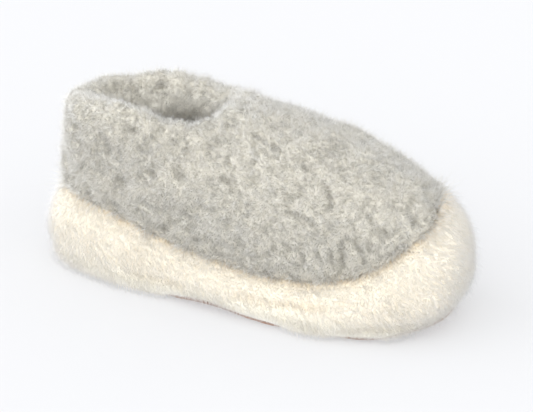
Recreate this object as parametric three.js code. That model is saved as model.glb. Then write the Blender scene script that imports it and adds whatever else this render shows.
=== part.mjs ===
// A wool slipper for the left foot. A curly fleece upper with a thick, turned-in collar stands on a
// padded sole wrapped in pale fleece, with a fleece insole inside and a thin suede outsole below.
// Millimetres. +X runs from heel to toe, +Y to the outer side of the foot and +Z up. The origin is on
// the floor, under the middle of the slipper's length and width.
import * as THREE from "three";

// Driving sizes of the sole
const soleLength = 290; // over the fleece, from heel to toe
const ballWidth = 124; // over the fleece, at the ball of the foot
const endRoundness = 0.72; // of the sole: 1 gives an oval's ends, and less gives blunter ones
const soleHeight = 30; // from the floor to the seam with the upper, at the waist
const footbedHeight = 14; // top of the padding that the insole lies on
const sideWall = 12; // thickness of the padded side, at the footbed
const outsoleThickness = 2;
const outsoleInset = 8; // how far the suede's edge lies inside the fleece
const toeSpring = 10; // lift of the suede at the tip of the toe
const toeSpringStart = 0.8; // share of the length where the toe starts to lift
const archRise = 2.5; // lift of the suede under the waist
const archStart = 0.33; // share of the length where the arch starts
const archEnd = 0.6; // and where it ends
const insoleThickness = 5;
const insoleInset = 16; // from the sole's widest outline
const insoleEdge = 1.6; // rounding of the insole's top edge

// Driving sizes of the upper
const soleLedge = 10; // how far the sole stands out past the upper, at the waist
const upperWall = 9; // fleece, backing and lining together
const collarRoll = 20; // thickness of the turned-in collar
const facingDepth = 24; // how far the turned-in fleece reaches down inside
const facingTaper = 8; // over which it thins out at its lower edge
const collarBack = 28; // from the heel's outline to the middle of the roll
const collarLength = 109; // between the middles of the roll, heel to instep
const collarWidth = 69; // between the middles of the roll, across
const collarRoundness = 0.84; // of the collar's ends, as endRoundness
const collarHeight = 106; // of the middle of the roll over the floor, at the sides
const instepSlope = 4; // degrees, of the vamp where it meets the collar

// Curls of the fleece, as low relief
const curlPitch = 42;
const upperCurl = 1.6;
const soleCurl = 0.8;

const gap = 0.3; // between pieces that touch

// Sections from heel to toe, at shares of the length. middle is how far the last swings to the outer
// side, and inner and outer are the half widths of the sole before the ends are rounded, as shares of
// half the ball width. seam and ledge are shares of soleHeight and soleLedge, and collar is a share of
// collarHeight.
const sections = [
  { at: 0.0, middle: 0.02, inner: 0.94, outer: 0.93, seam: 1.7, ledge: 1.3, collar: 1.0 },
  { at: 0.18, middle: 0.045, inner: 0.93, outer: 0.87, seam: 1.55, ledge: 1.2, collar: 1.0 },
  { at: 0.42, middle: 0.065, inner: 0.93, outer: 0.84, seam: 1.1, ledge: 0.95, collar: 1.025 },
  { at: 0.7, middle: 0.025, inner: 1.1, outer: 1.05, seam: 0.96, ledge: 1.35, collar: 1.0 },
  { at: 0.88, middle: -0.055, inner: 1.14, outer: 1.13, seam: 1.4, ledge: 1.6, collar: 0.99 },
  { at: 1.0, middle: -0.115, inner: 1.12, outer: 1.15, seam: 2.15, ledge: 1.75, collar: 1.025 },
];

// Profiles of the upper, from seam to collar, at shares of the length. lean is how far the wall bulges
// out over the seam, rise and reach are the lengths of its lower and upper curve, as shares of the
// straight distance, and upright is 1 where the wall ends upright and 0 where it ends at instepSlope.
const profiles = [
  { at: 0.0, lean: 0.04, rise: 0.33, reach: 0.33, upright: 1 },
  { at: 0.4, lean: 0.08, rise: 0.33, reach: 0.33, upright: 1 },
  { at: 0.7, lean: 0.1, rise: 0.33, reach: 0.3, upright: 0.82 },
  { at: 0.9, lean: 0.07, rise: 0.3, reach: 0.3, upright: 0.42 },
  { at: 1.0, lean: 0.04, rise: 0.14, reach: 0.38, upright: 0 },
];

// Profile of the sole's side, from the suede to the seam, as shares of the side's height and ledge.
const soleSide = [
  { height: 0.0, inset: 0.6 },
  { height: 0.1, inset: 0.28 },
  { height: 0.24, inset: 0.06 },
  { height: 0.42, inset: 0.0 },
  { height: 0.62, inset: 0.12 },
  { height: 0.8, inset: 0.38 },
  { height: 0.93, inset: 0.72 },
  { height: 1.0, inset: 1.0 },
];

// Faces around the slipper, and up each surface
const around = 104;
const wallRings = 18;
const rollRings = 5;
const liningRings = 8;
const liningCrowding = 1.5; // over 1 brings the lining's rings closer together at the collar

const halfLength = soleLength / 2;
const halfBall = ballWidth / 2;
const rollRadius = collarRoll / 2;
const wool = { grey: 0xc9c6bd, cream: 0xf3ead6 };

// A column of a table at a share of the length, on a smooth curve through its rows.
function column(rows, name, share) {
  const last = rows.length - 1;
  let i = 0;
  while (i < last - 1 && share > rows[i + 1].at) i += 1;
  const [a, b] = [rows[i], rows[i + 1]];
  const span = b.at - a.at;
  const slope = (k) => {
    const [p, q] = [rows[Math.max(k - 1, 0)], rows[Math.min(k + 1, last)]];
    return (q[name] - p[name]) / (q.at - p.at);
  };
  const t = (share - a.at) / span;
  const rise = b[name] - a[name];
  const [sa, sb] = [slope(i) * span - rise, slope(i + 1) * span - rise];
  return a[name] + rise * t + t * (1 - t) * ((1 - t) * sa - t * sb);
}

const rounded = (value, power) => Math.sign(value) * Math.abs(value) ** power;

// Station i of the ring around the slipper: 0 is the back of the heel, and it goes round by the inner
// side, -Y, to the toe and back by the outer side.
function station(i) {
  const angle = (2 * Math.PI * i) / around;
  const inner = i <= around / 2;
  return {
    share: (1 - Math.cos(angle)) / 2,
    forward: -Math.cos(angle),
    across: rounded(-Math.sin(angle), endRoundness),
    collarAcross: rounded(-Math.sin(angle), collarRoundness),
    side: inner ? "inner" : "outer",
  };
}
const stations = Array.from({ length: around }, (_, i) => station(i));

// How far the last's middle line swings to the outer side at a share of the length.
const middle = (share) => column(sections, "middle", share) * halfBall;

// The sole's widest outline, drawn in by inset, at height z.
function outline(s, inset, z) {
  const width = column(sections, s.side, s.share) * halfBall;
  const across = middle(s.share) + (width - inset) * s.across;
  return new THREE.Vector3((halfLength - inset) * s.forward, across, z);
}

// How far the suede is lifted off the floor: by the arch, and by the spring of the toe.
function lift(x) {
  const share = x / soleLength + 0.5;
  const arch = THREE.MathUtils.clamp((share - archStart) / (archEnd - archStart), 0, 1);
  const toe = Math.max(0, (share - toeSpringStart) / (1 - toeSpringStart));
  return archRise * Math.sin(Math.PI * arch) ** 2 + toeSpring * toe ** 2;
}

// Low relief of the curls at a point of the fleece, from -1 to 1.
function curls(p) {
  const turn = (2 * Math.PI) / curlPitch;
  const a = Math.sin(turn * (p.x + 0.3 * p.z));
  const b = Math.sin(turn * (p.z - 0.6 * p.y) + 1.1);
  const c = Math.sin(turn * (0.8 * p.y - 0.4 * p.x) + 2.3);
  return (a * b + b * c + c * a) / 2;
}

// A closed solid from rings of points, each anticlockwise from above. With caps, the first ring is
// closed downwards and the last upwards. Without, the last ring joins the first.
function ringSolid(rings, capped) {
  const positions = rings.flat().flatMap((p) => [p.x, p.y, p.z]);
  const index = [];
  const joins = capped ? rings.length - 1 : rings.length;
  for (let j = 0; j < joins; j += 1) {
    const low = j * around;
    const high = ((j + 1) % rings.length) * around;
    for (let i = 0; i < around; i += 1) {
      const next = (i + 1) % around;
      index.push(low + i, low + next, high + next, low + i, high + next, high + i);
    }
  }
  if (capped) {
    const top = (rings.length - 1) * around;
    for (let i = 0; i < around / 2; i += 1) {
      const [a, b, c, d] = [i, i + 1, around - i - 1, (around - i) % around];
      if (b !== c) index.push(top + a, top + b, top + c, a, c, b);
      if (a !== d) index.push(top + a, top + c, top + d, a, d, c);
    }
  }
  const geometry = new THREE.BufferGeometry();
  geometry.setAttribute("position", new THREE.Float32BufferAttribute(positions, 3));
  geometry.setIndex(index);
  return geometry;
}

function piece(name, geometry, color, roughness) {
  const material = new THREE.MeshStandardMaterial({ color, roughness, metalness: 0, flatShading: true });
  const mesh = new THREE.Mesh(geometry, material);
  mesh.name = name;
  return mesh;
}

const seamHeight = (s) => column(sections, "seam", s.share) * soleHeight;
const ledge = (s) => column(sections, "ledge", s.share) * soleLedge;

function outsole() {
  const ring = (z, inset) =>
    stations.map((s) => {
      const p = outline(s, inset, z);
      p.z += lift(p.x);
      return p;
    });
  return ringSolid([ring(0, outsoleInset), ring(outsoleThickness, outsoleInset)], true);
}

// The padded sole: a tray whose sides carry the upper.
function sole() {
  const bottom = outsoleThickness + gap;
  const side = soleSide.map((row) =>
    stations.map((s) => {
      const p = outline(s, row.inset * ledge(s), 0);
      const low = bottom + lift(p.x);
      p.z = low + row.height * (seamHeight(s) - low);
      const relief = soleCurl * curls(p) * Math.sin(Math.PI * row.height);
      return p.add(outward(s).multiplyScalar(relief));
    }),
  );
  const top = stations.map((s) => outline(s, ledge(s) + upperWall, seamHeight(s)));
  const bed = stations.map((s) => outline(s, sideWall, footbedHeight));
  return ringSolid([...side, top, bed], true);
}

function insole() {
  const low = footbedHeight + gap;
  const high = low + insoleThickness;
  const ring = (z, inset) => stations.map((s) => outline(s, inset, z));
  const rings = [
    ring(low, insoleInset),
    ring(high - insoleEdge, insoleInset),
    ring(high, insoleInset + insoleEdge),
  ];
  return ringSolid(rings, true);
}

// The direction away from the slipper's middle line, level, at a station.
function outward(s) {
  const here = outline(s, 0, 0);
  const inside = outline(s, 1, 0);
  return here.sub(inside).normalize();
}

// The middle of the collar's roll at a station.
function rollCentre(s) {
  const forward = -halfLength + collarBack + collarLength * s.share;
  const across = middle(forward / soleLength + 0.5) + (collarWidth / 2) * s.collarAcross;
  return new THREE.Vector3(forward, across, column(sections, "collar", s.share) * collarHeight);
}

// The level direction out of the collar's opening at station i.
function outOfCollar(i) {
  const before = rollCentre(stations[(i + around - 1) % around]);
  const after = rollCentre(stations[(i + 1) % around]);
  return new THREE.Vector3(after.y - before.y, before.x - after.x, 0).normalize();
}

// The upper's outer surface at station i: a curve from the seam to the outside of the roll.
function profile(s, i) {
  const row = (name) => column(profiles, name, s.share);
  const foot = outline(s, ledge(s), seamHeight(s) + gap);
  const centre = rollCentre(s);
  const away = outOfCollar(i);
  const slope = THREE.MathUtils.degToRad(instepSlope + (90 - instepSlope) * row("upright"));
  const end = centre
    .clone()
    .addScaledVector(away, rollRadius * Math.sin(slope))
    .add(new THREE.Vector3(0, 0, rollRadius * Math.cos(slope)));
  const along = away.clone().multiplyScalar(-Math.cos(slope)).setZ(Math.sin(slope));
  const span = foot.distanceTo(end);
  const low = foot
    .clone()
    .addScaledVector(outward(s), row("lean") * span)
    .add(new THREE.Vector3(0, 0, row("rise") * span));
  const high = end.clone().addScaledVector(along, -row("reach") * span);
  return new THREE.CubicBezierCurve3(foot, low, high, end);
}

function upper() {
  const curves = stations.map(profile);
  const lengths = curves.map((c) => c.getLength());
  const at = (i, v) => curves[(i + around) % around].getPointAt(v);
  const normal = (i, v) => {
    const sideways = at(i + 1, v).sub(at(i - 1, v));
    return sideways.cross(curves[i].getTangentAt(v)).normalize();
  };
  const thickness = (i, v) => {
    const depth = (1 - v) * lengths[i];
    const thinned = THREE.MathUtils.smoothstep(depth, facingDepth - facingTaper, facingDepth + facingTaper);
    return THREE.MathUtils.lerp(collarRoll, upperWall, thinned);
  };
  const outer = [];
  for (let j = 0; j <= wallRings; j += 1) {
    const v = j / wallRings;
    const ring = curves.map((_, i) => {
      const p = at(i, v);
      return p.addScaledVector(normal(i, v), upperCurl * curls(p) * Math.sin(Math.PI * v));
    });
    outer.push(ring);
  }
  const roll = [];
  for (let j = 1; j < rollRings; j += 1) {
    const turn = (Math.PI * j) / rollRings;
    const ring = curves.map((c, i) => {
      const n = normal(i, 1);
      return at(i, 1)
        .addScaledVector(n, rollRadius * (Math.cos(turn) - 1))
        .addScaledVector(c.getTangentAt(1), rollRadius * Math.sin(turn));
    });
    roll.push(ring);
  }
  const lining = [];
  for (let j = 0; j <= liningRings; j += 1) {
    const v = 1 - (j / liningRings) ** liningCrowding;
    lining.push(curves.map((_, i) => at(i, v).addScaledVector(normal(i, v), -thickness(i, v))));
  }
  // The lowest inner ring stands level on the sole.
  lining[liningRings] = stations.map((s) => outline(s, ledge(s) + upperWall, seamHeight(s) + gap));
  return ringSolid([...outer, ...roll, ...lining], false);
}

const slipper = new THREE.Group();
slipper.add(
  piece("outsole", outsole(), 0xa98f7c, 0.9),
  piece("sole", sole(), wool.cream, 1),
  piece("insole", insole(), wool.cream, 1),
  piece("upper", upper(), wool.grey, 1),
);

export default slipper;
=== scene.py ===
"""A wool slipper for the left foot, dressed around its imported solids.

The upper is light grey curly fleece, the padded sole and the inside are pale fleece, and the outsole
is thin suede. Metres. +X runs from heel to toe, +Y to the outer side of the foot and +Z up.
"""
import math

import bmesh
import bpy
import numpy as np
from bpy.props import FloatProperty, FloatVectorProperty, PointerProperty
from mathutils import Matrix, Vector, noise
from mathutils.bvhtree import BVHTree


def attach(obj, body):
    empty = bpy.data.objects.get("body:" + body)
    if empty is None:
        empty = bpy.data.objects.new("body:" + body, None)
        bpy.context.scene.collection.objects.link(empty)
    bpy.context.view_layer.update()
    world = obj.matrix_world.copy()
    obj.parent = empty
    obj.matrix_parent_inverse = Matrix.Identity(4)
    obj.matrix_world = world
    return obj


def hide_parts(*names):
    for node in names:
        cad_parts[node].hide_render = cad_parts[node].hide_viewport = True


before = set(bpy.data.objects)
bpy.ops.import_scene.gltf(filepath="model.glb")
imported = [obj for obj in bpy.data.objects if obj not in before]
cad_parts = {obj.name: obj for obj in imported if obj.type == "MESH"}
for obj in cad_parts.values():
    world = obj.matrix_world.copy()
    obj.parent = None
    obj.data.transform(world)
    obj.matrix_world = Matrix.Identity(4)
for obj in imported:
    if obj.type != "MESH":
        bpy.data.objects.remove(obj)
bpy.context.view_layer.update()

bl_info = {
    "name": "Wool slipper",
    "version": (1, 0, 0),
    "blender": (4, 5, 0),
    "location": "View3D > Sidebar > Slipper",
    "description": "Dresses a wool slipper in curly fleece, padding and suede",
    "category": "Add Mesh",
}

MM = 0.001
BODY = "root"
PIECE_LIMIT = 200_000
FLOOR_GAP = 0.1 * MM

# Levels of the subdivision surface of each skin
SMOOTHING = 2

# The seed of the noise that moves the tufts, so that every run gives the same fleece
NOISE_SEED = 7

# The foot's middle line: (x, y) in mm, from heel to toe
MIDDLE = ((-145, 1.2), (-93, 2.8), (-23, 4.0), (58, 1.5), (110, -3.4), (145, -7.1))

# The middle of the collar's roll, in mm
COLLAR_BACK = -117
COLLAR_LENGTH = 109
COLLAR_WIDTH = 69
COLLAR_HEIGHT = 106
COLLAR_ROUNDNESS = 0.84
COLLAR_STEPS = 160

# The height in mm under which the wool is painted paler towards the floor, as painted light from the
# floor
PAINTED_LIGHT_HEIGHT = 22

# The line inside the foot space that the walls are seen from, in mm
SPINE_HEEL = -80
SPINE_TOE = 90
SPINE_HEIGHT = 45
SOLE_SPINE_HEIGHT = 22


def linear(red, green, blue):
    """A colour given as 0 to 255 on screen, as the light that Blender works in."""
    return tuple(((v / 255 + 0.055) / 1.055) ** 2.4 for v in (red, green, blue))


def colour(name, description, red, green, blue):
    return FloatVectorProperty(
        name=name,
        description=description,
        default=linear(red, green, blue),
        size=3,
        min=0.0,
        max=1.0,
        subtype="COLOR",
    )


def length(name, description, millimetres):
    return FloatProperty(
        name=name,
        description=description,
        default=millimetres * MM,
        min=0.0,
        subtype="DISTANCE",
        unit="LENGTH",
    )


class SlipperSizes(bpy.types.PropertyGroup):
    """Sizes of the slipper's soft finish."""

    curl_length: length("Curl length", "Length of a lock of the grey fleece, uncurled", 5.6)
    curl_width: length("Curl width", "Width of a grey lock at its root", 0.32)
    tuft: length("Tuft", "Distance between the middles of the grey fleece's tufts", 6.5)
    nap_length: length("Nap length", "Length of a lock of the pale fleece", 6.5)
    nap_width: length("Nap width", "Width of a pale lock at its root", 0.26)
    lining_length: length("Lining length", "Length of the lining's pile", 5.0)
    facing: length("Facing", "How far the grey fleece is turned in below the collar", 33)
    lump: length("Lump", "Height of the fleece's low lumps", 1.3)


class SlipperColours(bpy.types.PropertyGroup):
    """Colours of the slipper's wool and suede."""

    grey_tip: colour("Grey tips", "Tips of the grey locks", 247, 244, 235)
    grey_root: colour("Grey roots", "Roots of the grey locks", 190, 185, 172)
    grey_deep: colour("Grey painted shade", "Painted shade of the grey fleece between the tufts", 140, 136, 124)
    facing_tip: colour("Facing tips, painted light", "Tips of the locks turned in at the collar, painted lighter against the shade in the opening", 248, 246, 238)
    grey_cool: colour("Grey, cool", "Cooler patches of the grey fleece", 240, 241, 239)
    cream_tip: colour("Pale tips", "Tips of the pale locks", 253, 250, 242)
    cream_root: colour("Pale roots", "Roots of the pale locks", 252, 248, 239)
    cream_ground: colour("Pale ground", "Pale fleece under its nap", 243, 236, 222)
    cream_low: colour("Pale, painted floor light", "Pale wool painted paler towards the floor, as painted light from the floor", 254, 248, 236)
    cream_deep: colour("Pale grain and painted shade", "Darker grain of the pale fleece, and its painted shade in the folds and under the upper", 233, 216, 184)
    cream_warm: colour("Pale, warm", "Warmer streaks of the pale fleece", 252, 246, 234)
    suede: colour("Suede", "Brushed suede of the outsole", 172, 136, 118)
    suede_worn: colour("Suede, worn", "Suede where it treads", 150, 118, 98)


class SlipperStudio(bpy.types.PropertyGroup):
    """Floor and light."""

    floor: colour("Floor", "Colour of the plain floor", 150, 150, 152)
    floor_glow: FloatProperty(
        name="Floor glow", description="Light of the pale floor's own", default=0.47, min=0
    )
    sky: FloatProperty(name="Sky", description="Strength of the even light", default=1.13, min=0)
    key: FloatProperty(name="Key", description="Strength of the soft lamp", default=1.86, min=0)


class Quantity:
    """A socket of a node tree, with arithmetic that adds the nodes it needs."""

    def __init__(self, graph, socket):
        self.graph = graph
        self.socket = socket

    def _is_vector(self):
        return self.socket.type in {"VECTOR", "RGBA"}

    def _numbers(self, operation, first, second=None):
        values = {0: first} if second is None else {0: first, 1: second}
        return self.graph.get("ShaderNodeMath", "Value", {"operation": operation}, values)

    def _vectors(self, operation, first, second=None):
        values = {0: first} if second is None else {0: first, 1: second}
        output = "Value" if operation == "DOT_PRODUCT" else "Vector"
        return self.graph.get("ShaderNodeVectorMath", output, {"operation": operation}, values)

    def _combined(self, operation, other, swapped=False):
        pair = (other, self) if swapped else (self, other)
        if self._is_vector():
            return self._vectors(operation, *pair)
        return self._numbers(operation, *pair)

    def __add__(self, other):
        return self._combined("ADD", other)

    def __radd__(self, other):
        return self._combined("ADD", other, True)

    def __sub__(self, other):
        return self._combined("SUBTRACT", other)

    def __rsub__(self, other):
        return self._combined("SUBTRACT", other, True)

    def __mul__(self, other):
        if not self._is_vector():
            if isinstance(other, Quantity) and other._is_vector():
                return other * self
            return self._numbers("MULTIPLY", self, other)
        if isinstance(other, Quantity) and other._is_vector():
            return self.times_each(other)
        sockets = {0: self, "Scale": other}
        return self.graph.get("ShaderNodeVectorMath", "Vector", {"operation": "SCALE"}, sockets)

    __rmul__ = __mul__

    def __truediv__(self, other):
        return self._numbers("DIVIDE", self, other)

    def __rtruediv__(self, other):
        return self._numbers("DIVIDE", other, self)

    def __pow__(self, power):
        return self._numbers("POWER", self, power)

    def sin(self):
        return self._numbers("SINE", self)

    def cos(self):
        return self._numbers("COSINE", self)

    def at_least(self, low):
        return self._numbers("MAXIMUM", self, low)

    def times_each(self, other):
        """The vector whose parts are this one's times the other's."""
        return self._vectors("MULTIPLY", self, other)

    def dot(self, other):
        return self._vectors("DOT_PRODUCT", self, other)

    def cross(self, other):
        return self._vectors("CROSS_PRODUCT", self, other)

    def unit(self):
        return self._vectors("NORMALIZE", self)

    def across(self, normal):
        """The part of this vector that lies along the surface with that normal."""
        return self - normal * self.dot(normal)


class Graph:
    """A node tree, with one way to add any node to it."""

    def __init__(self, tree):
        self.tree = tree

    def add(self, kind, settings=None, sockets=None):
        """A node of that type: its settings come first, then its sockets' values or links."""
        node = self.tree.nodes.new(kind)
        for name, value in (settings or {}).items():
            if name == "stops":
                self._set_stops(node.color_ramp, value)
            else:
                setattr(node, name, value)
        for key, value in (sockets or {}).items():
            self.plug(node.inputs[key], value)
        return node

    def get(self, kind, output, settings=None, sockets=None):
        """One output of such a node."""
        node = self.add(kind, settings, sockets)
        return Quantity(self, node.outputs[output])

    def plug(self, socket, value):
        if isinstance(value, Quantity):
            self.tree.links.new(value.socket, socket)
        elif socket.type == "RGBA" and len(value) == 3:
            socket.default_value = (*value, 1.0)
        else:
            socket.default_value = value

    def _set_stops(self, ramp, stops):
        for i, (place, tone) in enumerate(stops):
            stop = ramp.elements[i] if i < 2 else ramp.elements.new(place)
            stop.position = place
            stop.color = (tone, tone, tone, 1.0)

    def parts(self, vector):
        """The x, y and z of a vector."""
        node = self.add("ShaderNodeSeparateXYZ", None, {"Vector": vector})
        return [Quantity(self, node.outputs[axis]) for axis in "XYZ"]


class Shader(Graph):
    """A material's node tree, with what this slipper's finishes share."""

    def __init__(self, name):
        self.material = bpy.data.materials.new(name)
        self.material.use_nodes = True
        super().__init__(self.material.node_tree)
        self.principled = self.tree.nodes["Principled BSDF"]
        self.places = self.get("ShaderNodeTexCoord", "Object")

    def attribute(self, name):
        settings = {"attribute_type": "GEOMETRY", "attribute_name": name}
        return self.get("ShaderNodeAttribute", "Fac", settings)

    def mix(self, factor, a, b):
        """Colour a where factor is 0 and b where it is 1."""
        return self.get("ShaderNodeMix", 2, {"data_type": "RGBA"}, {0: factor, 6: a, 7: b})

    def bump(self, height, strength, distance):
        sockets = {"Height": height, "Strength": strength, "Distance": distance}
        return self.get("ShaderNodeBump", "Normal", None, sockets)

    def noise(self, size, detail=2.0, roughness=0.5, places=None):
        """Soft noise from 0 to 1, with features about that size in metres."""
        sockets = {
            "Vector": places or self.places,
            "Scale": 1 / size,
            "Detail": detail,
            "Roughness": roughness,
        }
        return self.get("ShaderNodeTexNoise", "Fac", None, sockets)

    def nearness_to_floor(self):
        """The mask of the painted floor light: 1 at the floor and 0 from PAINTED_LIGHT_HEIGHT up."""
        _, _, height = self.parts(self.places)
        return self.ramp(height * (1 / (PAINTED_LIGHT_HEIGHT * MM)), (0.1, 1.0), (1.0, 0.0))

    def ramp(self, value, *stops):
        return self.get("ShaderNodeValToRGB", "Color", {"stops": stops}, {"Fac": value})

    def finish(self, base, roughness, normal=None, **constants):
        """Wires the surface up. constants are set on the shader's own sockets."""
        self.plug(self.principled.inputs["Base Color"], base)
        self.plug(self.principled.inputs["Roughness"], roughness)
        if normal is not None:
            self.plug(self.principled.inputs["Normal"], normal)
        for name, value in constants.items():
            self.principled.inputs[name.replace("_", " ")].default_value = value
        return self.material


# Materials

# How far light spreads in the wool
LIT_THROUGH = {"Subsurface_Radius": (1.0, 1.0, 1.0), "Subsurface_Scale": 1.5 * MM}

# Each wool's colours: its tips, its roots, its other patches, the painted shade of its hollows, and the
# painted light of its locks at the floor and the seam. Then how much its locks differ, and how much
# light passes through
WOOLS = {
    "grey_wool": ("grey_tip", "grey_root", "grey_cool", "grey_deep", "grey_tip", 0.45, 0.7),
    # The facing's wool is the grey wool painted paler, with paler roots and hollows: painted light
    # against the shade in the opening
    "facing_painted_light_wool": ("facing_tip", "grey_tip", "grey_cool", "grey_root", "grey_tip", 0.3, 0.8),
    "pale_wool": ("cream_tip", "cream_root", "cream_warm", "cream_deep", "cream_low", 0.06, 1.0),
    "lining_wool": ("cream_tip", "cream_root", "cream_warm", "cream_deep", "cream_tip", 0.3, 0.8),
}


def wool_material(name):
    """Wool of a lock: darker at its root and in the hollows, as painted shade, paler at the seam and
    towards the floor, as painted light, and a little different from lock to lock and tuft to tuft."""
    *names, unevenness, glow = WOOLS[name]
    colours = bpy.context.scene.slipper_colours
    tip, root, other, deep, low = (getattr(colours, n) for n in names)
    s = Shader(name)
    along = s.attribute("along")
    shade = s.attribute("shade")
    patch = s.ramp(s.noise(35 * MM), (0.38, 0.0), (0.62, 1.0))
    tone = s.mix(patch * 0.6, tip, other)
    # Darker towards the root: painted shade near the skin
    rooted = s.mix(along ** 0.7, root, tone)
    uneven = shade * 0.75 + s.attribute("tuft") * 0.25
    base = s.mix(unevenness * (1 - uneven), rooted, root)
    # Painted shade: darker in the hollows between tufts, in the pits and creases, and under the upper
    base = s.mix(s.attribute("hollow_shade") * 0.8, base, deep)
    # Painted light: paler at the seam, against the shade under the upper's overhang
    base = s.mix(s.attribute("seam"), base, low)
    # Painted light: paler towards the floor, for the light the floor gives back
    base = s.mix(s.nearness_to_floor(), base, low)
    return s.finish(
        base, 0.85 + 0.1 * shade, Specular_IOR_Level=0.1, Subsurface_Weight=glow, **LIT_THROUGH
    )


def pale_ground_material(name, tone, deep, low, grain):
    """The pale fleece's ground under the nap: brushed smooth, with a fine grain and faint streaks."""
    s = Shader(name)
    brushed = s.get("ShaderNodeMapping", "Vector", None, {"Vector": s.places, "Scale": (0.3, 1, 1)})
    streaks = s.noise(4 * grain, 3.0, 0.6, brushed)
    fine = s.noise(grain, 2.0, 0.6)
    relief = streaks * 0.7 + fine * 0.3
    base = s.mix(s.ramp(relief, (0.35, 0.8), (0.65, 1.0)), deep, tone)
    # Painted shade: darker in the folds and under the upper
    base = s.mix(s.attribute("hollow_shade") * 0.7, base, deep)
    # Painted light: paler towards the floor
    base = s.mix(s.nearness_to_floor(), base, low)
    bump = s.bump(relief, 0.4, 0.5 * MM)
    return s.finish(
        base, 0.9 + 0.1 * fine, bump, Specular_IOR_Level=0.1, Subsurface_Weight=1.0, **LIT_THROUGH
    )


def upper_skin_material(colours):
    """The upper's ground under its curls: grey outside, darker in its hollows as painted shade, and on
    the facing, painted paler there as painted light; painted pale at the seam as painted light, and
    pale on the lining further in."""
    s = Shader("fleece_ground")
    lining = s.attribute("lining")
    coarse = s.noise(4 * MM, 3.0, 0.6)
    fine = s.noise(0.9 * MM, 2.0, 0.6)
    relief = coarse * 0.6 + fine * 0.4
    mask = s.ramp(relief, (0.3, 0.0), (0.7, 0.5))
    grey = s.mix(mask, colours.grey_root, colours.grey_tip)
    # Painted shade: darker in the hollows between tufts and in the pits
    grey = s.mix(s.attribute("hollow_shade") * 0.7, grey, colours.grey_deep)
    # Painted light: the turned-in facing is painted the paler tip grey, against the shade in the
    # opening
    grey = s.mix(s.attribute("facing"), grey, colours.grey_tip)
    # Painted light: painted pale at the seam, against the shade under the overhang
    grey = s.mix(s.attribute("seam") * 0.8, grey, colours.cream_ground)
    pale = s.mix(mask, colours.cream_root, colours.cream_tip)
    base = s.mix(lining, grey, pale)
    bump = s.bump(relief, 0.8, 1.2 * MM)
    return s.finish(base, 0.9 + 0.1 * fine, bump, Specular_IOR_Level=0.1, Sheen_Weight=0.2)


def suede_material(colours):
    """Brushed suede: a short nap in drifting patches, worn darker and smoother where it treads."""
    s = Shader("brushed_suede")
    drift = s.noise(14 * MM, 3.0, 0.6)
    nap = s.noise(0.7 * MM, 3.0, 0.7)
    worn = s.attribute("worn")
    base = s.mix(drift * 0.5 + nap * 0.3, colours.suede, colours.suede_worn)
    base = s.mix(worn * 0.7, base, colours.suede_worn)
    bump = s.bump(nap * 0.7 + drift * 0.3, 0.6, 0.4 * MM)
    return s.finish(base, 0.92 - 0.25 * worn, bump, Specular_IOR_Level=0.2, Sheen_Weight=0.3)


# The forms of the skins

def middle(x):
    """y of the foot's middle line at x."""
    places, sideways = np.array(MIDDLE, float).T * MM
    return np.interp(x, places, sideways)


def collar_line():
    """Points along the middle of the collar's roll."""
    turn = np.linspace(0, 2 * math.pi, COLLAR_STEPS, endpoint=False)
    x = (COLLAR_BACK + COLLAR_LENGTH * (1 - np.cos(turn)) / 2) * MM
    across = -np.sin(turn)
    across = np.sign(across) * np.abs(across) ** COLLAR_ROUNDNESS
    y = middle(x) + COLLAR_WIDTH / 2 * MM * across
    return np.stack([x, y, np.full_like(x, COLLAR_HEIGHT * MM)], 1)


def ease(value, start, end):
    """0 before start and 1 after end, smooth between."""
    t = np.clip((value - start) / (end - start), 0, 1)
    return t * t * (3 - 2 * t)


def corners(mesh):
    points = np.empty(len(mesh.vertices) * 3)
    mesh.vertices.foreach_get("co", points)
    return points.reshape(-1, 3)


def move_to(mesh, points):
    mesh.vertices.foreach_set("co", points.ravel())


def normals(mesh):
    directions = np.empty(len(mesh.vertices) * 3)
    mesh.vertex_normals.foreach_get("vector", directions)
    return directions.reshape(-1, 3)


def outwardness(points, directions, height):
    """1 where the surface faces away from the foot's middle, -1 where it faces it."""
    spine_x = np.clip(points[:, 0], SPINE_HEEL * MM, SPINE_TOE * MM)
    spine = np.stack([spine_x, middle(spine_x), np.full(len(points), height * MM)], 1)
    away = points - spine
    away /= np.linalg.norm(away, axis=1)[:, None]
    return (away * directions).sum(1)


def collar_distance(points):
    line = collar_line()
    gaps = np.linalg.norm(points[:, None, :] - line[None, :, :], axis=2)
    return gaps.min(1)


def smooth_copy(node, name):
    """A new object with the node's mesh, merged and made smooth."""
    form = bmesh.new()
    form.from_mesh(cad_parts[node].data)
    bmesh.ops.remove_doubles(form, verts=form.verts, dist=0.01 * MM)
    bmesh.ops.join_triangles(
        form, faces=form.faces, angle_face_threshold=math.pi, angle_shape_threshold=math.pi
    )
    mesh = bpy.data.meshes.new(name)
    form.to_mesh(mesh)
    form.free()
    piece = bpy.data.objects.new(name, mesh)
    bpy.context.collection.objects.link(piece)
    smoothing = piece.modifiers.new("smooth", "SUBSURF")
    smoothing.levels = SMOOTHING
    smoothing.render_levels = SMOOTHING
    settle(piece)
    piece.data.polygons.foreach_set("use_smooth", [True] * len(piece.data.polygons))
    return piece


def settle(piece):
    """Turns what the piece's modifiers give into its own plain mesh."""
    graph = bpy.context.evaluated_depsgraph_get()
    mesh = bpy.data.meshes.new_from_object(piece.evaluated_get(graph), depsgraph=graph)
    mesh.name = piece.name
    old = piece.data
    piece.modifiers.clear()
    piece.data = mesh
    bpy.data.meshes.remove(old)


def lumps(points, size, offset):
    """Low lumps of about that size, from -1 to 1, at each point."""
    shift = Vector((offset, 2 * offset, 3 * offset))
    return np.array([noise.noise(Vector(p) / size + shift) for p in points]) * 1.6


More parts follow.
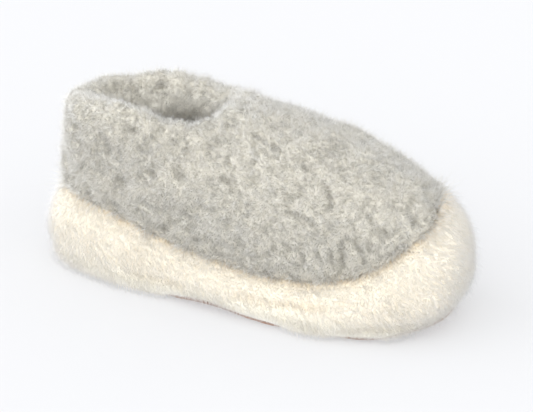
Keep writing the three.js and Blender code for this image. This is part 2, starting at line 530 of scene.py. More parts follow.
def get_attribute(mesh, name):
    values = np.empty(len(mesh.vertices), dtype=np.float32)
    mesh.attributes[name].data.foreach_get("value", values)
    return values


def set_attribute(mesh, name, values):
    layer = mesh.attributes.get(name) or mesh.attributes.new(name, "FLOAT", "POINT")
    layer.data.foreach_set("value", np.ascontiguousarray(values, dtype=np.float32))


def set_places(mesh, name, places):
    layer = mesh.attributes.new(name, "FLOAT_VECTOR", "POINT")
    layer.data.foreach_set("vector", np.ascontiguousarray(places, dtype=np.float32).ravel())


def lay_out_tufts(mesh, points, size, offset):
    """Parts the fleece into tufts of about that size, each a little moved and bent. The mesh keeps
    every point's tuft middle, its tuft's tone and how far it lies in the dip between tufts, as
    hollow_shade, which paints the dip darker as painted shade. The domes that come back go from 0 at
    the edges to 1."""
    noise.seed_set(NOISE_SEED)
    domes = []
    middles = []
    tones = []
    for p in points:
        place = Vector(p) / size
        moved = 0.35 * noise.noise_vector(place * 1.7 + Vector((offset, 0, 0)))
        gaps, centres = noise.voronoi(place + moved)
        domes.append(min(1.0, (gaps[1] - gaps[0]) * 1.6))
        middles.append((centres[0] - moved) * size)
        tones.append(0.5 + 0.8 * noise.noise(centres[0] * 3.7))
    domes = np.array(domes)
    open_edge = ease(lumps(points, 1.3 * size, offset + 5), -0.3, 0.4)
    set_attribute(mesh, "hollow_shade", (1 - ease(domes, 0.0, 0.5)) * open_edge)
    set_attribute(mesh, "tuft", np.clip(tones, 0, 1))
    set_places(mesh, "centre", np.array([tuple(m) for m in middles]))
    return np.sqrt(domes)


def trough(points, line, width, depth):
    """How far a soft crease along a line of points, in mm, sinks the surface at each point."""
    route = np.array(line, float) * MM
    nearest = np.full(len(points), np.inf)
    for start, end in zip(route, route[1:]):
        step = end - start
        share = np.clip(((points - start) @ step) / (step @ step), 0, 1)
        gap = np.linalg.norm(points - (start + share[:, None] * step), axis=1)
        nearest = np.minimum(nearest, gap)
    return depth * MM * np.exp(-((nearest / (width * MM)) ** 2))


def surface_of(name):
    """The surface of the piece or node of that name, to measure to."""
    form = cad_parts.get(name) or bpy.data.objects[name]
    return BVHTree.FromObject(form, bpy.context.evaluated_depsgraph_get())


def gaps_to(name, points):
    """How far each point lies from the surface of the piece or node of that name."""
    surface = surface_of(name)
    return np.array([surface.find_nearest(Vector(p))[3] for p in points])


# The piles

def pile_tree():
    """Geometry nodes that grow curled locks of wool out of a skin, and leave the skin out."""
    tree = bpy.data.node_groups.new("wool_pile", "GeometryNodeTree")
    sockets = tree.interface
    sockets.new_socket(name="Geometry", in_out="OUTPUT", socket_type="NodeSocketGeometry")
    sockets.new_socket(name="Geometry", in_out="INPUT", socket_type="NodeSocketGeometry")
    for name, kind in PILE_INPUTS.items():
        sockets.new_socket(name=name, in_out="INPUT", socket_type=kind)
    g = Graph(tree)
    entry = g.add("NodeGroupInput")

    def given(name):
        return Quantity(g, entry.outputs[name])

    def named(name, kind="FLOAT"):
        return g.get(
            "GeometryNodeInputNamedAttribute", "Attribute", {"data_type": kind}, {"Name": name}
        )

    def store(geometry, name, value, kind="FLOAT"):
        return g.get(
            "GeometryNodeStoreNamedAttribute",
            "Geometry",
            {"data_type": kind, "domain": "POINT"},
            {"Geometry": geometry, "Name": name, "Value": value},
        )

    def chance(seed, low=0.0, high=1.0):
        span = {2: low, 3: high, "Seed": seed}
        return g.get("FunctionNodeRandomValue", 1, {"data_type": "FLOAT"}, span)

    scatter = g.add(
        "GeometryNodeDistributePointsOnFaces",
        {"distribute_method": "POISSON"},
        {
            "Mesh": given("Geometry"),
            "Distance Min": given("Gap"),
            "Density Max": given("Density"),
            "Density Factor": named("pile"),
            "Seed": given("Seed"),
        },
    )
    up = Quantity(g, scatter.outputs["Normal"])
    place = g.get("GeometryNodeInputPosition", "Position")
    span = {0: (-1, -1, -1), 1: (1, 1, 1), "Seed": 11}
    wander = g.get("FunctionNodeRandomValue", 0, {"data_type": "FLOAT_VECTOR"}, span)
    gathered = (named("centre", "FLOAT_VECTOR") - place).across(up).unit()
    swirled = up.cross(gathered)
    side = (
        gathered * given("Gather")
        + swirled * given("Swirl")
        + wander * given("Wander")
        + given("Comb")
    )
    side = side.across(up).unit()
    stray = chance(6) ** 5
    reach = given("Length") * named("grow") * chance(3, 0.65, 1.15)
    reach = reach * (1 - named("hollow_shade") * given("Pits")) * (1 + stray * given("Stray"))
    bend = given("Bend") * chance(4, 0.6, 1.3) * named("lay")

    points = Quantity(g, scatter.outputs["Points"])
    points = store(points, "root", place - up * given("Sink"), "FLOAT_VECTOR")
    points = store(points, "up", up, "FLOAT_VECTOR")
    points = store(points, "side", side, "FLOAT_VECTOR")
    points = store(points, "reach", reach)
    points = store(points, "bend", bend)
    points = store(points, "lean", given("Lean") * named("lay"))
    points = store(points, "shade", chance(5))
    points = store(points, "stray", stray)

    cone = g.get(
        "GeometryNodeMeshCone",
        "Mesh",
        {"fill_type": "NGON"},
        {
            "Vertices": 3,
            "Side Segments": 1,
            "Radius Top": 0.0,
            "Radius Bottom": 1.0,
            "Depth": 1.0,
        },
    )
    place_on_cone = g.get("GeometryNodeInputPosition", "Position")
    _, _, along = g.parts(place_on_cone)
    cone = store(cone, "along", along)
    around = place_on_cone.times_each((1, 1, 0)).unit()
    cone = store(cone, "around", around, "FLOAT_VECTOR")
    locks = g.get(
        "GeometryNodeInstanceOnPoints", "Instances", None, {"Points": points, "Instance": cone}
    )
    locks = g.get("GeometryNodeRealizeInstances", "Geometry", None, {"Geometry": locks})

    # Each lock is an arc in the plane of up and side: it starts at lean and turns through bend. A stray
    # one is straighter and thinner
    t = named("along")
    turn = named("bend")
    out = named("up", "FLOAT_VECTOR")
    over = named("side", "FLOAT_VECTOR")
    third = out.cross(over)
    start = named("lean") * (1 - named("stray") * 0.8)
    now = start + turn * t
    rise = (now.sin() - start.sin()) / turn
    shift = (start.cos() - now.cos()) / turn
    middle_line = out * (rise * named("reach")) + over * (shift * named("reach"))
    ring_x, ring_y, _ = g.parts(named("around", "FLOAT_VECTOR"))
    flank = over * now.cos() - out * now.sin()
    width = given("Width") * 0.5 * (1 - t * t) * (1 - named("stray") * 0.6)
    body = (flank * ring_x + third * ring_y) * width
    grown = named("root", "FLOAT_VECTOR") + middle_line + body
    x, y, z = g.parts(grown)
    above_floor = {"X": x, "Y": y, "Z": z.at_least(FLOOR_GAP)}
    laid = g.get("ShaderNodeCombineXYZ", "Vector", None, above_floor)
    locks = g.get(
        "GeometryNodeSetPosition", "Geometry", None, {"Geometry": locks, "Position": laid}
    )
    for name in PILE_HELPERS:
        locks = g.get(
            "GeometryNodeRemoveAttribute", "Geometry", None, {"Geometry": locks, "Name": name}
        )
    locks = g.get("GeometryNodeSetShadeSmooth", "Geometry", None, {"Geometry": locks})
    dressed = {"Geometry": locks, "Material": given("Wool")}
    locks = g.get("GeometryNodeSetMaterial", "Geometry", None, dressed)
    g.add("NodeGroupOutput", None, {"Geometry": locks})
    return tree


# What the tree stores only for itself, and takes off the grown locks
PILE_HELPERS = (
    "root", "up", "side", "reach", "bend", "lean", "lay", "around", "stray", "centre", "pile", "grow"
)

# The tree's inputs. Density is the most locks on a square metre and Gap the least way between two.
# Lean and Bend are in radians, and Sink is how deep a lock is rooted. Stray is how much longer a stray
# lock may be, and Pits how much shorter one is in a hollow. Gather, Swirl, Wander and Comb say how
# much a lock leans to its tuft's middle, around it, anywhere, and along a fixed direction
PILE_INPUTS = {
    "Density": "NodeSocketFloat",
    "Gap": "NodeSocketFloat",
    "Seed": "NodeSocketInt",
    "Length": "NodeSocketFloat",
    "Width": "NodeSocketFloat",
    "Lean": "NodeSocketFloat",
    "Bend": "NodeSocketFloat",
    "Sink": "NodeSocketFloat",
    "Stray": "NodeSocketFloat",
    "Gather": "NodeSocketFloat",
    "Swirl": "NodeSocketFloat",
    "Wander": "NodeSocketFloat",
    "Comb": "NodeSocketVector",
    "Pits": "NodeSocketFloat",
    "Wool": "NodeSocketMaterial",
}


def grow_pile(skin, name, values, share, grow=1.0, lay=1.0):
    """A piece of locks on the skin: share is how much of the full density each vertex has, grow how
    much of the full length, and lay how much of the full lean and bend."""
    mesh = skin.data.copy()
    mesh.name = name
    kept = {"hollow_shade", "tuft", "centre", "seam", "sharp_face"}
    for layer in [a.name for a in mesh.attributes if not a.is_required and a.name not in kept]:
        mesh.attributes.remove(mesh.attributes[layer])
    for key, amount in (("pile", share), ("grow", grow), ("lay", lay)):
        set_attribute(mesh, key, np.broadcast_to(amount, len(share)))
    piece = bpy.data.objects.new(name, mesh)
    bpy.context.collection.objects.link(piece)
    tree = bpy.data.node_groups.get("wool_pile") or pile_tree()
    growth = piece.modifiers.new("pile", "NODES")
    growth.node_group = tree
    entries = [s for s in tree.interface.items_tree if s.in_out == "INPUT"]
    identifiers = {s.name: s.identifier for s in entries}
    for key, value in values.items():
        growth[identifiers[key]] = value
    settle(piece)
    piece.data.materials.clear()
    piece.data.materials.append(values["Wool"])
    piece.data.polygons.foreach_set("material_index", [0] * len(piece.data.polygons))
    triangles = sum(len(p.vertices) - 2 for p in piece.data.polygons)
    if not 0 < triangles < PIECE_LIMIT:
        raise RuntimeError(f"{name} has {triangles} triangles")
    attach(piece, BODY)
    return piece


def finished(piece, material, node):
    """Gives a skin its material in a slot and its body, and hides the node it stands for."""
    piece.data.materials.clear()
    piece.data.materials.append(material)
    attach(piece, BODY)
    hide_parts(node)


def off_the_underside(directions, start=0.85):
    """1 where a surface faces up or sideways, and 0 where it faces down."""
    return 1 - ease(-directions[:, 2], start, 0.97)


def upper_regions(skin):
    """For each vertex of the upper's skin: outside, facing and lining, from 0 to 1."""
    points = corners(skin.data)
    directions = normals(skin.data)
    facing_depth = bpy.context.scene.slipper_sizes.facing
    outside = ease(outwardness(points, directions, SPINE_HEIGHT), -0.25, 0.05)
    near = 1 - ease(collar_distance(points), facing_depth - 2 * MM, facing_depth + 2 * MM)
    facing = (1 - outside) * near
    return points, directions, outside, facing, (1 - outside) * (1 - near)


# The suede and the padded sole

# How far the foot of the padded side spreads on the floor, in mm, and the height that it fades by
BASE_SPREAD = 4.5
BASE_HEIGHT = 14

# The suede follows that spread by this share, up to the toe's lift: there it fades out, in mm of x
SUEDE_SHARE = 0.8
SUEDE_FADE = (100, 122)

# Where the suede's edge shows at the inner side, in mm of x: it starts, is full, ends and is gone. Then
# how much of it shows. It stands out there by SUEDE_LIP mm more
SUEDE_WINDOWS = (((-52, -28, 34, 56), 1.0), ((66, 78, 96, 108), 0.5))
SUEDE_LIP = 4.4

# Where the suede is worn by treading: the middle and the half length, in mm of x
TREAD = ((-100, 35), (60, 40))

# The ends of the foot's middle line that the fleece spreads away from, in mm
SPREAD_REACH = 95


def from_middle(points):
    """Level directions away from the foot's middle line, one long, and none well inside the edge."""
    spine_x = np.clip(points[:, 0], -SPREAD_REACH * MM, SPREAD_REACH * MM)
    away = np.stack([points[:, 0] - spine_x, points[:, 1] - middle(spine_x)], 1)
    reach = np.linalg.norm(away, axis=1)
    return away / reach[:, None].clip(1 * MM) * ease(reach, 20 * MM, 34 * MM)[:, None]


def spread_base(points):
    """How far each point of the sole moves out so that its side stands down to the floor."""
    fade = np.clip(1 - points[:, 2] / (BASE_HEIGHT * MM), 0, 1)
    return BASE_SPREAD * MM * fade ** 1.4


def window(value, start, full, end, gone):
    """1 from full to end, 0 before start and after gone, smooth between."""
    return ease(value, start, full) * (1 - ease(value, end, gone))


def suede_shown(points):
    """Where the suede's edge shows under the fleece: at the waist and the ball of the inner side."""
    x = points[:, 0] / MM
    shown = sum(share * window(x, *places) for places, share in SUEDE_WINDOWS)
    return shown * (points[:, 1] < 0)


def hang_to_floor(points):
    """Lets the lower edge of the pale fleece hang past the suede's edge, except where that shows."""
    edge = np.linalg.norm(from_middle(points), axis=1)
    hung = (1 - ease(points[:, 2], 2.3 * MM, 8 * MM)) * edge * (1 - suede_shown(points))
    points[:, 2] += (4 * FLOOR_GAP - points[:, 2]) * hung
    return points


class SLIPPER_OT_suede_sole(bpy.types.Operator):
    """Cut the thin suede outsole, and finish its nap and its worn places"""

    bl_idname = "slipper.suede_sole"
    bl_label = "Suede sole"

    def execute(self, context):
        piece = smooth_copy("outsole", "suede_sole")
        points = corners(piece.data)
        directions = normals(piece.data)
        wave = lumps(points, 16 * MM, offset=3.0) * 0.35 * MM
        start, end = SUEDE_FADE
        flush = BASE_SPREAD * SUEDE_SHARE * MM * (1 - ease(points[:, 0], start * MM, end * MM))
        points[:, :2] += from_middle(points) * (wave + flush)[:, None]
        points[:, :2] += from_middle(points) * (suede_shown(points) * SUEDE_LIP * MM)[:, None]
        move_to(piece.data, points)
        places = points[:, 0] / MM
        tread = sum(np.exp(-(((places - x) / spread) ** 2)) for x, spread in TREAD)
        set_attribute(piece.data, "worn", np.clip(tread, 0, 1) * (directions[:, 2] < -0.5))
        finished(piece, suede_material(context.scene.slipper_colours), "outsole")
        return {"FINISHED"}


# Creases of the pale side, in mm: points along the fold, its half width and its depth
SOLE_CREASES = (
    (((-69, -47, 13), (-47, -50, 14), (-29, -52, 14)), 2.6, 0.6),
    (((12, -58, 18), (39, -60, 18), (71, -60, 21)), 3.0, 0.9),
    (((33, -59, 9), (48, -60, 9), (66, -61, 7)), 2.4, 1.2),
    (((81, -59, 7), (99, -58, 11), (120, -47, 12)), 2.6, 1.2),
)

# How much painted shade the creases get, in the pale fleece's shade colour
CREASE_SHADE = 0.35

# How much the pale fleece plumps up against the upper, and how much its edge waves there, in mm
SEAM_FILL = 1.6
SEAM_WAVE = 1.2

# How far the pale toe climbs the grey upper at its outer side, and how much it thins there, in mm
TOE_CLIMB = 11
TOE_THINNING = 3
TOE_STEPS = 6


def evened(mesh, moves, rounds):
    """Moves of a mesh's points, each blended with its neighbours' that many times."""
    pairs = np.empty(len(mesh.edges) * 2, dtype=np.int64)
    mesh.edges.foreach_get("vertices", pairs)
    first, second = pairs.reshape(-1, 2).T
    count = np.bincount(pairs, minlength=len(moves))[:, None]
    for _ in range(rounds):
        total = np.zeros_like(moves)
        np.add.at(total, first, moves[second])
        np.add.at(total, second, moves[first])
        moves = 0.5 * moves + 0.5 * total / count
    return moves


def climb_toe(mesh):
    """Slides the top of the sole's toe up along the grey upper, most at the outer side."""
    upper = surface_of("fleece_upper")
    points = corners(mesh)
    mm = points / MM
    share = ease(mm[:, 1], -30, 6) * ease(mm[:, 0], 56, 104) * ease(mm[:, 2], 20, 46)
    moves = np.zeros_like(points)
    up = Vector((0, 0, 1))
    for i in np.nonzero(share > 0.005)[0]:
        start = Vector(points[i])
        place = start.copy()
        for _ in range(TOE_STEPS):
            _, facing, _, gap = upper.find_nearest(place)
            room = ease(gap, 2 * MM, 10 * MM)
            place = place - facing * (TOE_THINNING * MM / TOE_STEPS * share[i] * room)
            facing = Vector((facing.x, facing.y, max(facing.z, 0.0))).normalized()
            along = (up - facing * up.dot(facing)).normalized()
            place = place + along * (TOE_CLIMB * MM / TOE_STEPS * share[i])
        moves[i] = place - start
    return points + evened(mesh, moves, rounds=40)


class SLIPPER_OT_padded_sole(bpy.types.Operator):
    """Pad the pale fleece sole, with its soft creases"""

    bl_idname = "slipper.padded_sole"
    bl_label = "Padded sole"

    def execute(self, context):
        piece = smooth_copy("sole", "padded_sole")
        points = climb_toe(piece.data)
        points[:, :2] += from_middle(points) * spread_base(points)[:, None]
        points = hang_to_floor(points)
        move_to(piece.data, points)
        directions = normals(piece.data)
        lump = context.scene.slipper_sizes.lump
        height = lumps(points, 20 * MM, offset=7.0) * 0.5 * lump
        height += lumps(points, 8 * MM, offset=9.0) * 0.08 * lump
        lay_out_tufts(piece.data, points, 9 * MM, offset=8.0)
        crease_shade = np.zeros(len(points))
        for line, width, depth in SOLE_CREASES:
            sunk = trough(points, line, width, depth)
            height -= sunk
            crease_shade = np.maximum(crease_shade, CREASE_SHADE * sunk / (depth * MM))
        gaps = gaps_to("fleece_upper", points)
        # shaded: how near the upper overhangs. It waves the fleece's edge there and paints it darker,
        # as painted shade
        shaded = 1 - ease(gaps, 1 * MM, 6 * MM)
        points[:, 2] += shaded * lumps(points, 9 * MM, offset=13.0) * SEAM_WAVE * MM
        height += SEAM_FILL * MM * (1 - ease(gaps, 0, 7 * MM))
        underside = (np.abs(directions[:, 2]) > 0.8) & (points[:, 2] < 20 * MM)
        points += directions * (height * ~underside)[:, None]
        move_to(piece.data, points)
        # Painted shade: the pale fleece is darkened under the upper and in its creases
        set_attribute(piece.data, "hollow_shade", np.maximum(shaded, crease_shade))
        colours = context.scene.slipper_colours
        material = pale_ground_material(
            "pale_ground", colours.cream_ground, colours.cream_deep, colours.cream_low, 1.0 * MM
        )
        finished(piece, material, "sole")
        return {"FINISHED"}


class SLIPPER_OT_footbed(bpy.types.Operator):
    """Lay the fleece footbed, hollowed a little under the heel and the ball of the foot"""

    bl_idname = "slipper.footbed"
    bl_label = "Footbed"

    def execute(self, context):
        piece = smooth_copy("insole", "footbed")
        points = corners(piece.data)
        directions = normals(piece.data)
        soft = lumps(points, 12 * MM, offset=5.0) * 0.5 * MM
        lay_out_tufts(piece.data, points, 7 * MM, offset=6.0)
        points[:, 2] += soft * (directions[:, 2] > 0.5)
        move_to(piece.data, points)
        colours = context.scene.slipper_colours
        ground = colours.cream_ground
        material = pale_ground_material(
            "footbed_ground", ground, colours.cream_deep, ground, 1.2 * MM
        )
        finished(piece, material, "insole")
        return {"FINISHED"}


# The upper

# How the near rim of the opening rises and sags: (x, rise) in mm
RIM_SAG = ((-125, 0), (-108, 2), (-92, 3.5), (-66, 1), (-46, -2), (-28, -4.5), (-12, -1.5), (0, 0))

# Pits where the grey fleece parts on the side that shows, in mm: points along it, half width, depth.
# Each pit is also painted darker, as painted shade
PITS = (
    (((-102, -32, 55), (-99, -34, 54)), 2.6, 2.2),
    (((-82, -37, 55), (-79, -38, 53)), 2.8, 2.4),
    (((-75, -40, 74), (-71, -41, 74)), 2.2, 1.8),
    (((-50, -44, 85), (-47, -44, 84)), 2.4, 1.8),
    (((-31, -46, 88), (-26, -46, 86)), 2.6, 2.0),
    (((-82, -39, 102), (-80, -40, 96), (-79, -40, 91)), 2.0, 1.5),
    (((-65, -40, 111), (-61, -40, 109)), 2.0, 1.3),
    (((-49, -40, 107), (-46, -40, 105)), 2.0, 1.4),
    (((-36, -38, 105), (-33, -40, 103)), 2.2, 1.4),
    (((-44, -43, 47), (-41, -44, 46)), 2.4, 2.0),
    (((-19, -47, 44), (-16, -48, 45)), 2.6, 2.2),
    (((-25, -48, 63), (-20, -48, 61)), 2.0, 1.6),
    (((-56, -44, 63), (-50, -44, 61)), 2.0, 1.4),
    (((-71, -38, 47), (-66, -40, 47)), 2.0, 1.5),
    (((14, -22, 110), (19, -24, 109)), 2.0, 1.4),
    (((67, -39, 88), (70, -44, 81)), 1.8, 1.5),
    (((44, -50, 76), (52, -50, 75), (60, -50, 72)), 2.0, 1.7),
    (((78, -49, 61), (79, -50, 53), (80, -49, 45)), 1.6, 1.8),
    (((63, -52, 55), (66, -52, 48)), 1.6, 1.6),
    (((55, -53, 52), (57, -53, 44)), 1.5, 1.3),
    (((72, -51, 56), (73, -51, 47)), 1.4, 1.2),
    (((89, -47, 59), (92, -46, 50)), 1.6, 1.5),
    (((100, -42, 60), (102, -41, 53)), 1.5, 1.3),
    (((109, -39, 54), (112, -37, 57)), 2.2, 2.0),
    (((113, -28, 77), (117, -30, 71)), 1.8, 1.4),
    (((102, -41, 70), (104, -40, 66)), 1.8, 1.4),
    (((47, -31, 99), (51, -33, 97)), 1.8, 1.2),
    (((25, -24, 107), (28, -27, 105)), 1.8, 1.2),
    (((-16, -32, 106), (-12, -34, 104)), 2.0, 1.4),
    (((0, -45, 89), (5, -46, 88)), 2.0, 1.4),
    (((92, -41, 78), (95, -42, 74)), 1.8, 1.3),
    (((18, -51, 43), (24, -52, 44)), 1.8, 1.3),
    (((43, -54, 57), (48, -54, 54)), 1.6, 1.2),
)


def sag_rim(points):
    """Lets the near rim of the opening dip towards the instep, as the worn fleece does."""
    mm = points / MM
    x, rise = np.array(RIM_SAG, float).T
    spread = np.linspace(-6, 6, 7)
    smooth_rise = np.mean([np.interp(mm[:, 0] + d, x, rise) for d in spread], axis=0)
    near = ease(middle(points[:, 0]) / MM - mm[:, 1], 4, 22)
    points[:, 2] += smooth_rise * near * ease(mm[:, 2], 72, 104) * MM
    return points


class SLIPPER_OT_upper(bpy.types.Operator):
    """Make the fleece upper's skin: grey outside and on the turned-in facing, pale further in"""

    bl_idname = "slipper.upper"
    bl_label = "Upper"

    def execute(self, context):
        piece = smooth_copy("upper", "fleece_upper")
        points = sag_rim(corners(piece.data))
        move_to(piece.data, points)
        directions = normals(piece.data)
        lump = context.scene.slipper_sizes.lump
        size = context.scene.slipper_sizes.tuft
        rim = 1 - ease(collar_distance(points), 12 * MM, 20 * MM)
        relief = lumps(points, 18 * MM, offset=1.0) * 0.5 * lump
        relief += rim * lumps(points, 11 * MM, offset=12.0) * lump
        relief += (lay_out_tufts(piece.data, points, size, offset=4.0) - 0.6) * lump
        relief += lumps(points, 2.6 * MM, offset=2.0) * 0.2 * lump
        # The upper is drawn in a little at the seam
        relief -= (1 - ease(gaps_to("sole", points), 1 * MM, 9 * MM)) * 0.7 * MM
        # The pits are painted darker too, as painted shade, through hollow_shade
        hollow_shade = get_attribute(piece.data, "hollow_shade")
        for line, width, depth in PITS:
            sunk = trough(points, line, width, depth)
            relief -= sunk
            hollow_shade = np.maximum(hollow_shade, sunk / (depth * MM))
        set_attribute(piece.data, "hollow_shade", hollow_shade)
        points += directions * (relief * (directions[:, 2] > -0.8))[:, None]
        move_to(piece.data, points)
        *_, facing, lining = upper_regions(piece)
        # facing: where the ground is painted paler, as painted light against the shade in the opening
        set_attribute(piece.data, "facing", facing)
        # seam: where the ground and the curls are painted paler, as painted light against the shade
        # under the overhang
        set_attribute(piece.data, "seam", 1 - ease(gaps_to("sole", points), 2.5 * MM, 7 * MM))
        set_attribute(piece.data, "lining", lining)
        material = upper_skin_material(context.scene.slipper_colours)
        finished(piece, material, "upper")
        return {"FINISHED"}


# The pieces of the piles

# Where one piece of a pile gives way to the next: how far from the collar's middle line, and at what x
COLLAR_SPLIT = (18 * MM, 19 * MM)
VAMP_SPLIT = (17.5 * MM, 18.5 * MM)
NAP_SPLIT = (19.5 * MM, 20.5 * MM)

# The facing's share of the curls' density
FACING_SHARE = 0.75

GREY_CURLS = {
    "Density": 4_600_000.0,
    "Gap": 0.45 * MM,
    "Lean": 0.3,
    "Bend": 1.1,
    "Pits": 0.45,
    "Sink": 0.6 * MM,
    "Stray": 1.0,
    "Gather": 0.3,
    "Swirl": 0.4,
    "Wander": 0.9,
    "Comb": (0.0, 0.0, -0.25),
}
PALE_NAP = {
    "Density": 4_900_000.0,
    "Gap": 0.44 * MM,
    "Lean": 0.7,
    "Bend": 0.9,
    "Pits": 0.0,
    "Sink": 0.6 * MM,
    "Stray": 0.75,
    "Gather": 0.0,
    "Swirl": 0.0,
    "Wander": 0.6,
    "Comb": (0.6, 0.0, -0.45),
}
LINING_PILE = {
    "Gap": 1.5 * MM,
    "Width": 1.1 * MM,
    "Lean": 0.2,
    "Bend": 1.8,
    "Pits": 0.3,
    "Sink": 0.5 * MM,
    "Stray": 0.0,
    "Gather": 0.6,
    "Swirl": 0.3,
    "Wander": 0.7,
    "Comb": (0.0, 0.0, 0.0),
}
LINING_DENSITY = 300_000.0
FOOTBED_DENSITY = 400_000.0


class SLIPPER_OT_grey_curls(bpy.types.Operator):
    """Grow the grey curls over the vamp, the quarters and the collar with its facing"""

    bl_idname = "slipper.grey_curls"
    bl_label = "Grey curls"

    def execute(self, context):
        sizes = context.scene.slipper_sizes
        skin = bpy.data.objects["fleece_upper"]
        points, directions, outside, facing, _ = upper_regions(skin)
        grey = outside * off_the_underside(directions)
        rim = 1 - ease(collar_distance(points), *COLLAR_SPLIT)
        rest = 1 - rim
        front = ease(points[:, 0], *VAMP_SPLIT)
        wool = wool_material("grey_wool")
        # The facing's curls are the grey wool painted paler: painted light against the shade in the
        # opening
        facing_painted_light_wool = wool_material("facing_painted_light_wool")
        # The lowest curls are longer, and hang over the seam unevenly
        overhang = 1 - ease(gaps_to("padded_sole", points), 2 * MM, 8 * MM)
        ragged = np.clip(0.5 + 0.9 * lumps(points, 6 * MM, offset=15.0), 0, 1)
        grow = 1 + overhang * (0.1 + 1.7 * ragged)
        values = {**GREY_CURLS, "Length": sizes.curl_length, "Width": sizes.curl_width}
        pieces = (
            ("curls_facing", facing_painted_light_wool, facing * FACING_SHARE),
            ("curls_collar", wool, grey * rim),
            ("curls_quarters", wool, grey * rest * (1 - front)),
            ("curls_vamp", wool, grey * rest * front),
        )
        for seed, (name, own, share) in enumerate(pieces):
            grow_pile(skin, name, {**values, "Wool": own, "Seed": seed}, share, grow)
        return {"FINISHED"}


def open_to_sky(points):
    """Whether each point is clear of the upper for 3 mm above it."""
    upper = surface_of("fleece_upper")
    up = Vector((0, 0, 1))
    starts = [Vector(p) + up * 0.2 * MM for p in points]
    return np.array([upper.ray_cast(start, up, 3 * MM)[0] is None for start in starts])


class SLIPPER_OT_pale_nap(bpy.types.Operator):
    """Grow the combed pale nap around the padded sole"""

    bl_idname = "slipper.pale_nap"
    bl_label = "Pale nap"

    def execute(self, context):
        sizes = context.scene.slipper_sizes
        skin = bpy.data.objects["padded_sole"]
        points = corners(skin.data)
        directions = normals(skin.data)
        outside = ease(outwardness(points, directions, SOLE_SPINE_HEIGHT), -0.1, 0.2)
        side = outside * off_the_underside(directions)
        front = ease(points[:, 0], *NAP_SPLIT)
        # The nap stands out more at the floor, and is short where the suede shows
        lay = 1 - 0.55 * (1 - ease(points[:, 2], 3 * MM, 14 * MM))
        bared = suede_shown(points) * (1 - ease(points[:, 2], 4 * MM, 10 * MM))
        grow = (0.8 + 0.2 * open_to_sky(points)) * (1 - 0.85 * bared)
        wool = wool_material("pale_wool")
        values = {
            **PALE_NAP, "Length": sizes.nap_length, "Width": sizes.nap_width, "Wool": wool
        }
        shares = {"nap_heel": side * (1 - front), "nap_toe": side * front}
        for seed, (name, share) in enumerate(shares.items(), 20):
            grow_pile(skin, name, {**values, "Seed": seed}, share, grow, lay)
        return {"FINISHED"}


class SLIPPER_OT_lining(bpy.types.Operator):
    """Grow the short pale pile of the lining and the footbed"""

    bl_idname = "slipper.lining"
    bl_label = "Lining"

    def execute(self, context):
        sizes = context.scene.slipper_sizes
        wool = wool_material("lining_wool")
        values = {**LINING_PILE, "Length": sizes.lining_length, "Wool": wool}
        upper = bpy.data.objects["fleece_upper"]
        _, directions, _, _, lining = upper_regions(upper)
        inside = lining * off_the_underside(directions, 0.9)
        bed = bpy.data.objects["footbed"]
        top = ease(normals(bed.data)[:, 2], 0.4, 0.7)
        for seed, skin, name, share, density in (
            (40, upper, "lining_pile", inside, LINING_DENSITY),
            (41, bed, "footbed_pile", top, FOOTBED_DENSITY),
        ):
            own = {**values, "Density": density, "Seed": seed}
            grow_pile(skin, name, own, share)
        return {"FINISHED"}


# The stage

# The lamps: the place each shines from, and its strength as a share of the soft lamp's
LAMPS = (
    ("key", (-0.1, -1.0, 0.33), 1.0),
    ("left_fill", (-1.4, -0.35, 0.42), 1.12),
    ("right_fill", (1.3, -0.45, 0.28), 0.92),
)
LAMP_SPREAD = 90
FLOOR_SIZE = 16.0
DAYLIGHT = (0.98, 0.99, 1.0, 1.0)

# The camera, in degrees, metres and mm of lens
CAMERA_AZIMUTH = 24.0
CAMERA_ELEVATION = 25.5
CAMERA_ROLL = -1.5
CAMERA_DISTANCE = 1.0
CAMERA_LENS = 106.0
CAMERA_TARGET = (0.007, 0.0047, 0.0495)


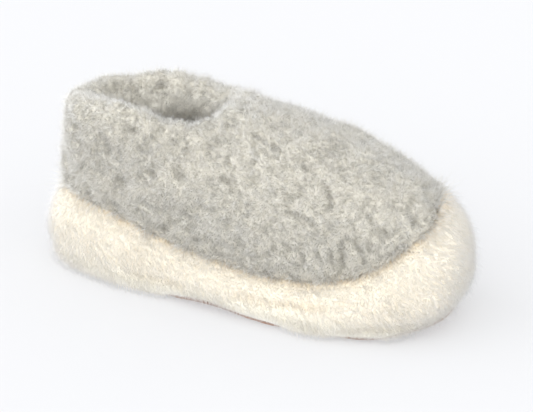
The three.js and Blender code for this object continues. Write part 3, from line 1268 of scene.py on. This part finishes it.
class SLIPPER_OT_stage(bpy.types.Operator):
    """Set the plain floor, the soft light and the camera"""

    bl_idname = "slipper.stage"
    bl_label = "Stage"

    def execute(self, context):
        scene = context.scene
        studio = scene.slipper_studio
        self.floor(studio)
        self.lamps(studio)
        self.sky(scene, studio)
        self.camera(scene)
        scene.view_settings.view_transform = "Standard"
        scene.view_settings.look = "None"
        return {"FINISHED"}

    def floor(self, studio):
        form = bmesh.new()
        bmesh.ops.create_grid(form, x_segments=1, y_segments=1, size=FLOOR_SIZE)
        mesh = bpy.data.meshes.new("floor")
        form.to_mesh(mesh)
        form.free()
        floor = bpy.data.objects.new("floor", mesh)
        bpy.context.collection.objects.link(floor)
        s = Shader("floor_paint")
        paint = s.finish(
            tuple(studio.floor),
            0.9,
            Specular_IOR_Level=0.0,
            Emission_Color=DAYLIGHT,
            Emission_Strength=studio.floor_glow,
        )
        mesh.materials.append(paint)

    def lamps(self, studio):
        for name, place, share in LAMPS:
            lamp = bpy.data.lights.new(name, "SUN")
            lamp.angle = math.radians(LAMP_SPREAD)
            lamp.energy = studio.key * share
            holder = bpy.data.objects.new(name, lamp)
            bpy.context.collection.objects.link(holder)
            aim = Vector(CAMERA_TARGET) - Vector(place)
            holder.rotation_euler = aim.to_track_quat("-Z", "Y").to_euler()
            holder.location = place

    def sky(self, scene, studio):
        world = bpy.data.worlds.new("soft_room")
        world.use_nodes = True
        background = world.node_tree.nodes["Background"]
        background.inputs["Color"].default_value = DAYLIGHT
        background.inputs["Strength"].default_value = studio.sky
        scene.world = world

    def camera(self, scene):
        azimuth = math.radians(CAMERA_AZIMUTH)
        elevation = math.radians(CAMERA_ELEVATION)
        roll = math.radians(CAMERA_ROLL)
        back = Vector(
            (
                math.sin(azimuth) * math.cos(elevation),
                -math.cos(azimuth) * math.cos(elevation),
                math.sin(elevation),
            )
        )
        level = Vector((0, 0, 1)).cross(back).normalized()
        upright = back.cross(level)
        right = level * math.cos(roll) + upright * math.sin(roll)
        up = upright * math.cos(roll) - level * math.sin(roll)
        lens = bpy.data.cameras.new("camera")
        lens.lens = CAMERA_LENS
        lens.clip_start = 0.05
        lens.clip_end = 20.0
        camera = bpy.data.objects.new("camera", lens)
        bpy.context.collection.objects.link(camera)
        turned = Matrix((right, up, back)).transposed().to_4x4()
        camera.matrix_world = (
            Matrix.Translation(Vector(CAMERA_TARGET) + back * CAMERA_DISTANCE) @ turned
        )
        scene.camera = camera


class SLIPPER_PT_panel(bpy.types.Panel):
    """The slipper's pieces, in the order they are made"""

    bl_idname = "SLIPPER_PT_panel"
    bl_label = "Wool slipper"
    bl_space_type = "VIEW_3D"
    bl_region_type = "UI"
    bl_category = "Slipper"

    def draw(self, context):
        layout = self.layout
        for group in ("slipper_sizes", "slipper_colours", "slipper_studio"):
            values = getattr(context.scene, group)
            box = layout.box()
            for name in values.__annotations__:
                box.prop(values, name)
        for operator in OPERATORS:
            layout.operator(operator.bl_idname)


OPERATORS = (
    SLIPPER_OT_stage,
    SLIPPER_OT_suede_sole,
    SLIPPER_OT_upper,
    SLIPPER_OT_padded_sole,
    SLIPPER_OT_footbed,
    SLIPPER_OT_grey_curls,
    SLIPPER_OT_pale_nap,
    SLIPPER_OT_lining,
)
GROUPS = {
    "slipper_sizes": SlipperSizes,
    "slipper_colours": SlipperColours,
    "slipper_studio": SlipperStudio,
}


def register():
    for group in GROUPS.values():
        bpy.utils.register_class(group)
    for operator in OPERATORS:
        bpy.utils.register_class(operator)
    bpy.utils.register_class(SLIPPER_PT_panel)
    for name, group in GROUPS.items():
        setattr(bpy.types.Scene, name, PointerProperty(type=group))


def unregister():
    for name in GROUPS:
        delattr(bpy.types.Scene, name)
    bpy.utils.unregister_class(SLIPPER_PT_panel)
    for operator in reversed(OPERATORS):
        bpy.utils.unregister_class(operator)
    for group in GROUPS.values():
        bpy.utils.unregister_class(group)


def main():
    register()
    bpy.ops.slipper.stage()
    bpy.ops.slipper.suede_sole()
    bpy.ops.slipper.upper()
    bpy.ops.slipper.padded_sole()
    bpy.ops.slipper.footbed()
    bpy.ops.slipper.grey_curls()
    bpy.ops.slipper.pale_nap()
    bpy.ops.slipper.lining()


if __name__ == "__main__":
    main()
